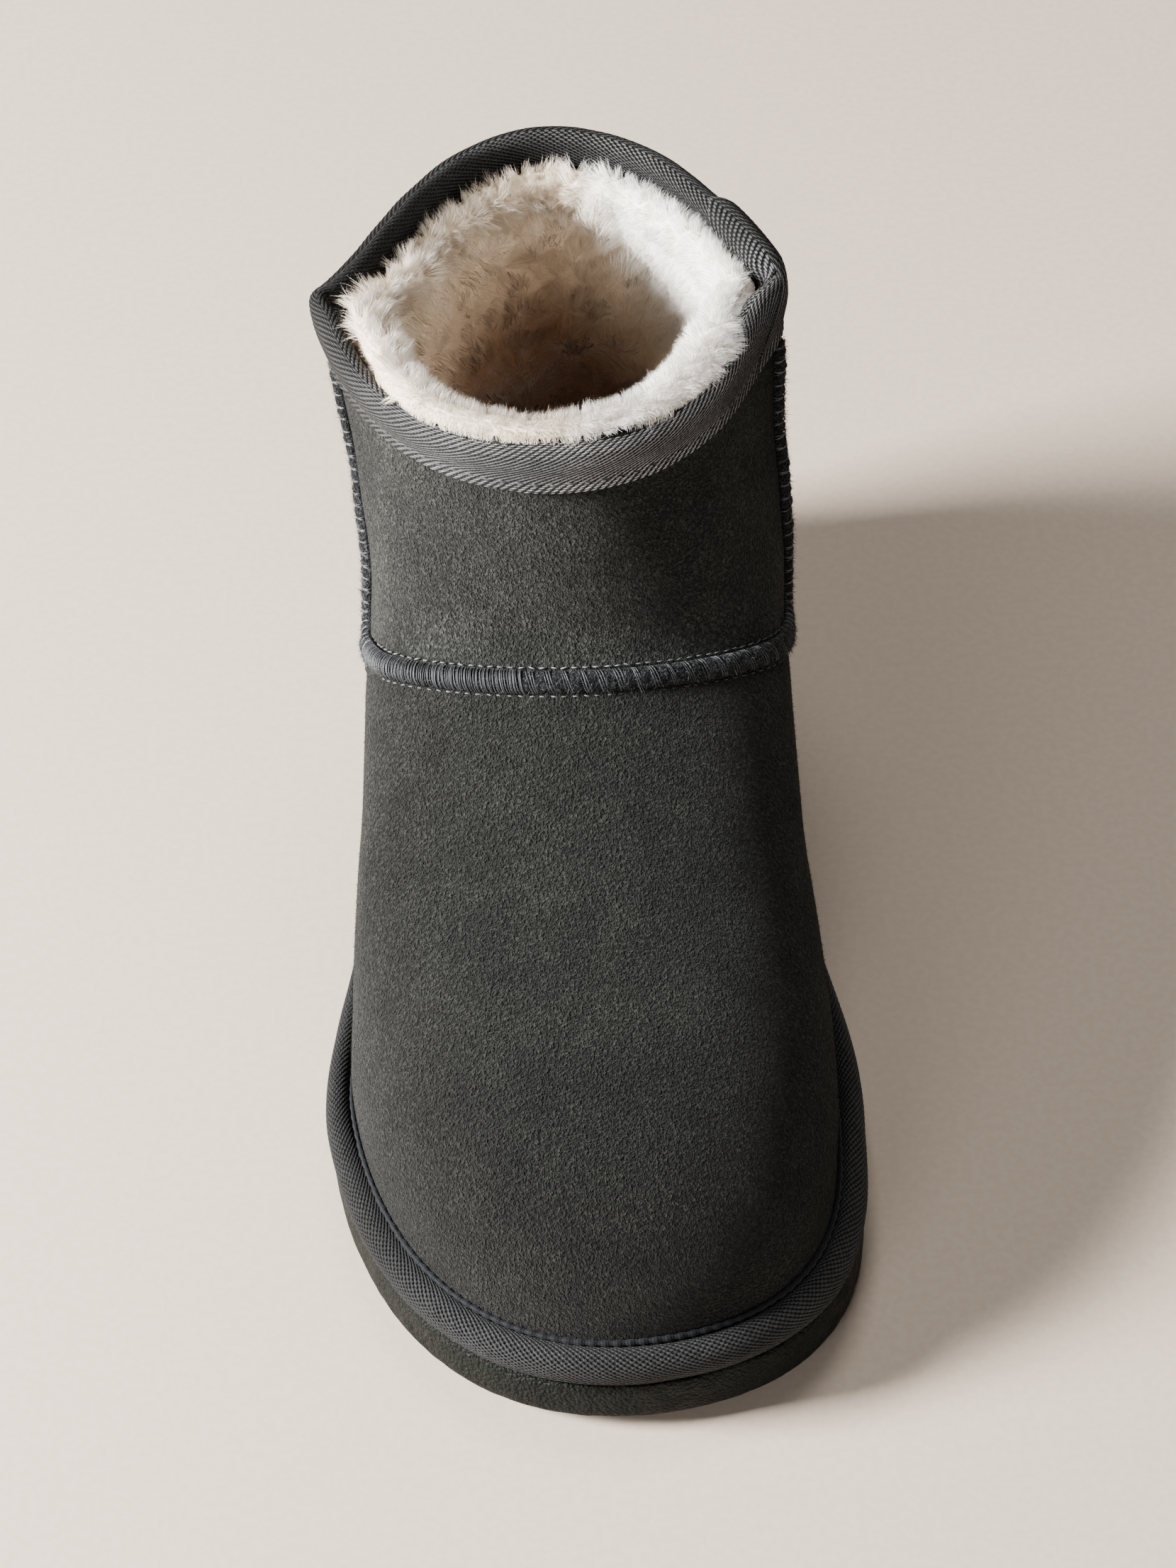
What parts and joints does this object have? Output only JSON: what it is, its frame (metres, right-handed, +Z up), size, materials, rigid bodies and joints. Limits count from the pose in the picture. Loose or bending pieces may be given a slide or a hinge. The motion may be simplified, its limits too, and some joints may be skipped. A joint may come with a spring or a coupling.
{
  "type": "slipper boot",
  "caption": "Short fur-lined suede slipper boot for the right foot, with a taped collar, raised overlocked seams, a woven tape-covered rand and a thick flat foam sole.",
  "frame": {"origin": "on the floor under the middle of the boot's bounding box", "axes": "toe towards -Y and heel towards +Y, inner side of the foot towards +X, collar upwards along +Z"},
  "size_m": [0.119, 0.2718, 0.1627],
  "materials": {
    "sole_foam": "matt, finely pebbled",
    "woven_tape": "matt herringbone weave",
    "footbed": "matt pile",
    "suede": "matt brushed nap",
    "seam_thread": "close satin stitches",
    "fur": "matt deep pile"
  },
  "bodies": {
    "root": {"outsole": "sole_foam", "rand": "woven_tape", "insole": "footbed", "upper": "suede", "shaft_seam": "seam_thread", "quarter_seam_inner": "seam_thread", "quarter_seam_outer": "seam_thread", "heel_stay": "suede", "collar_binding": "woven_tape", "binding_lap": "woven_tape", "fur_lining": "fur"}
  },
  "joints": []
}
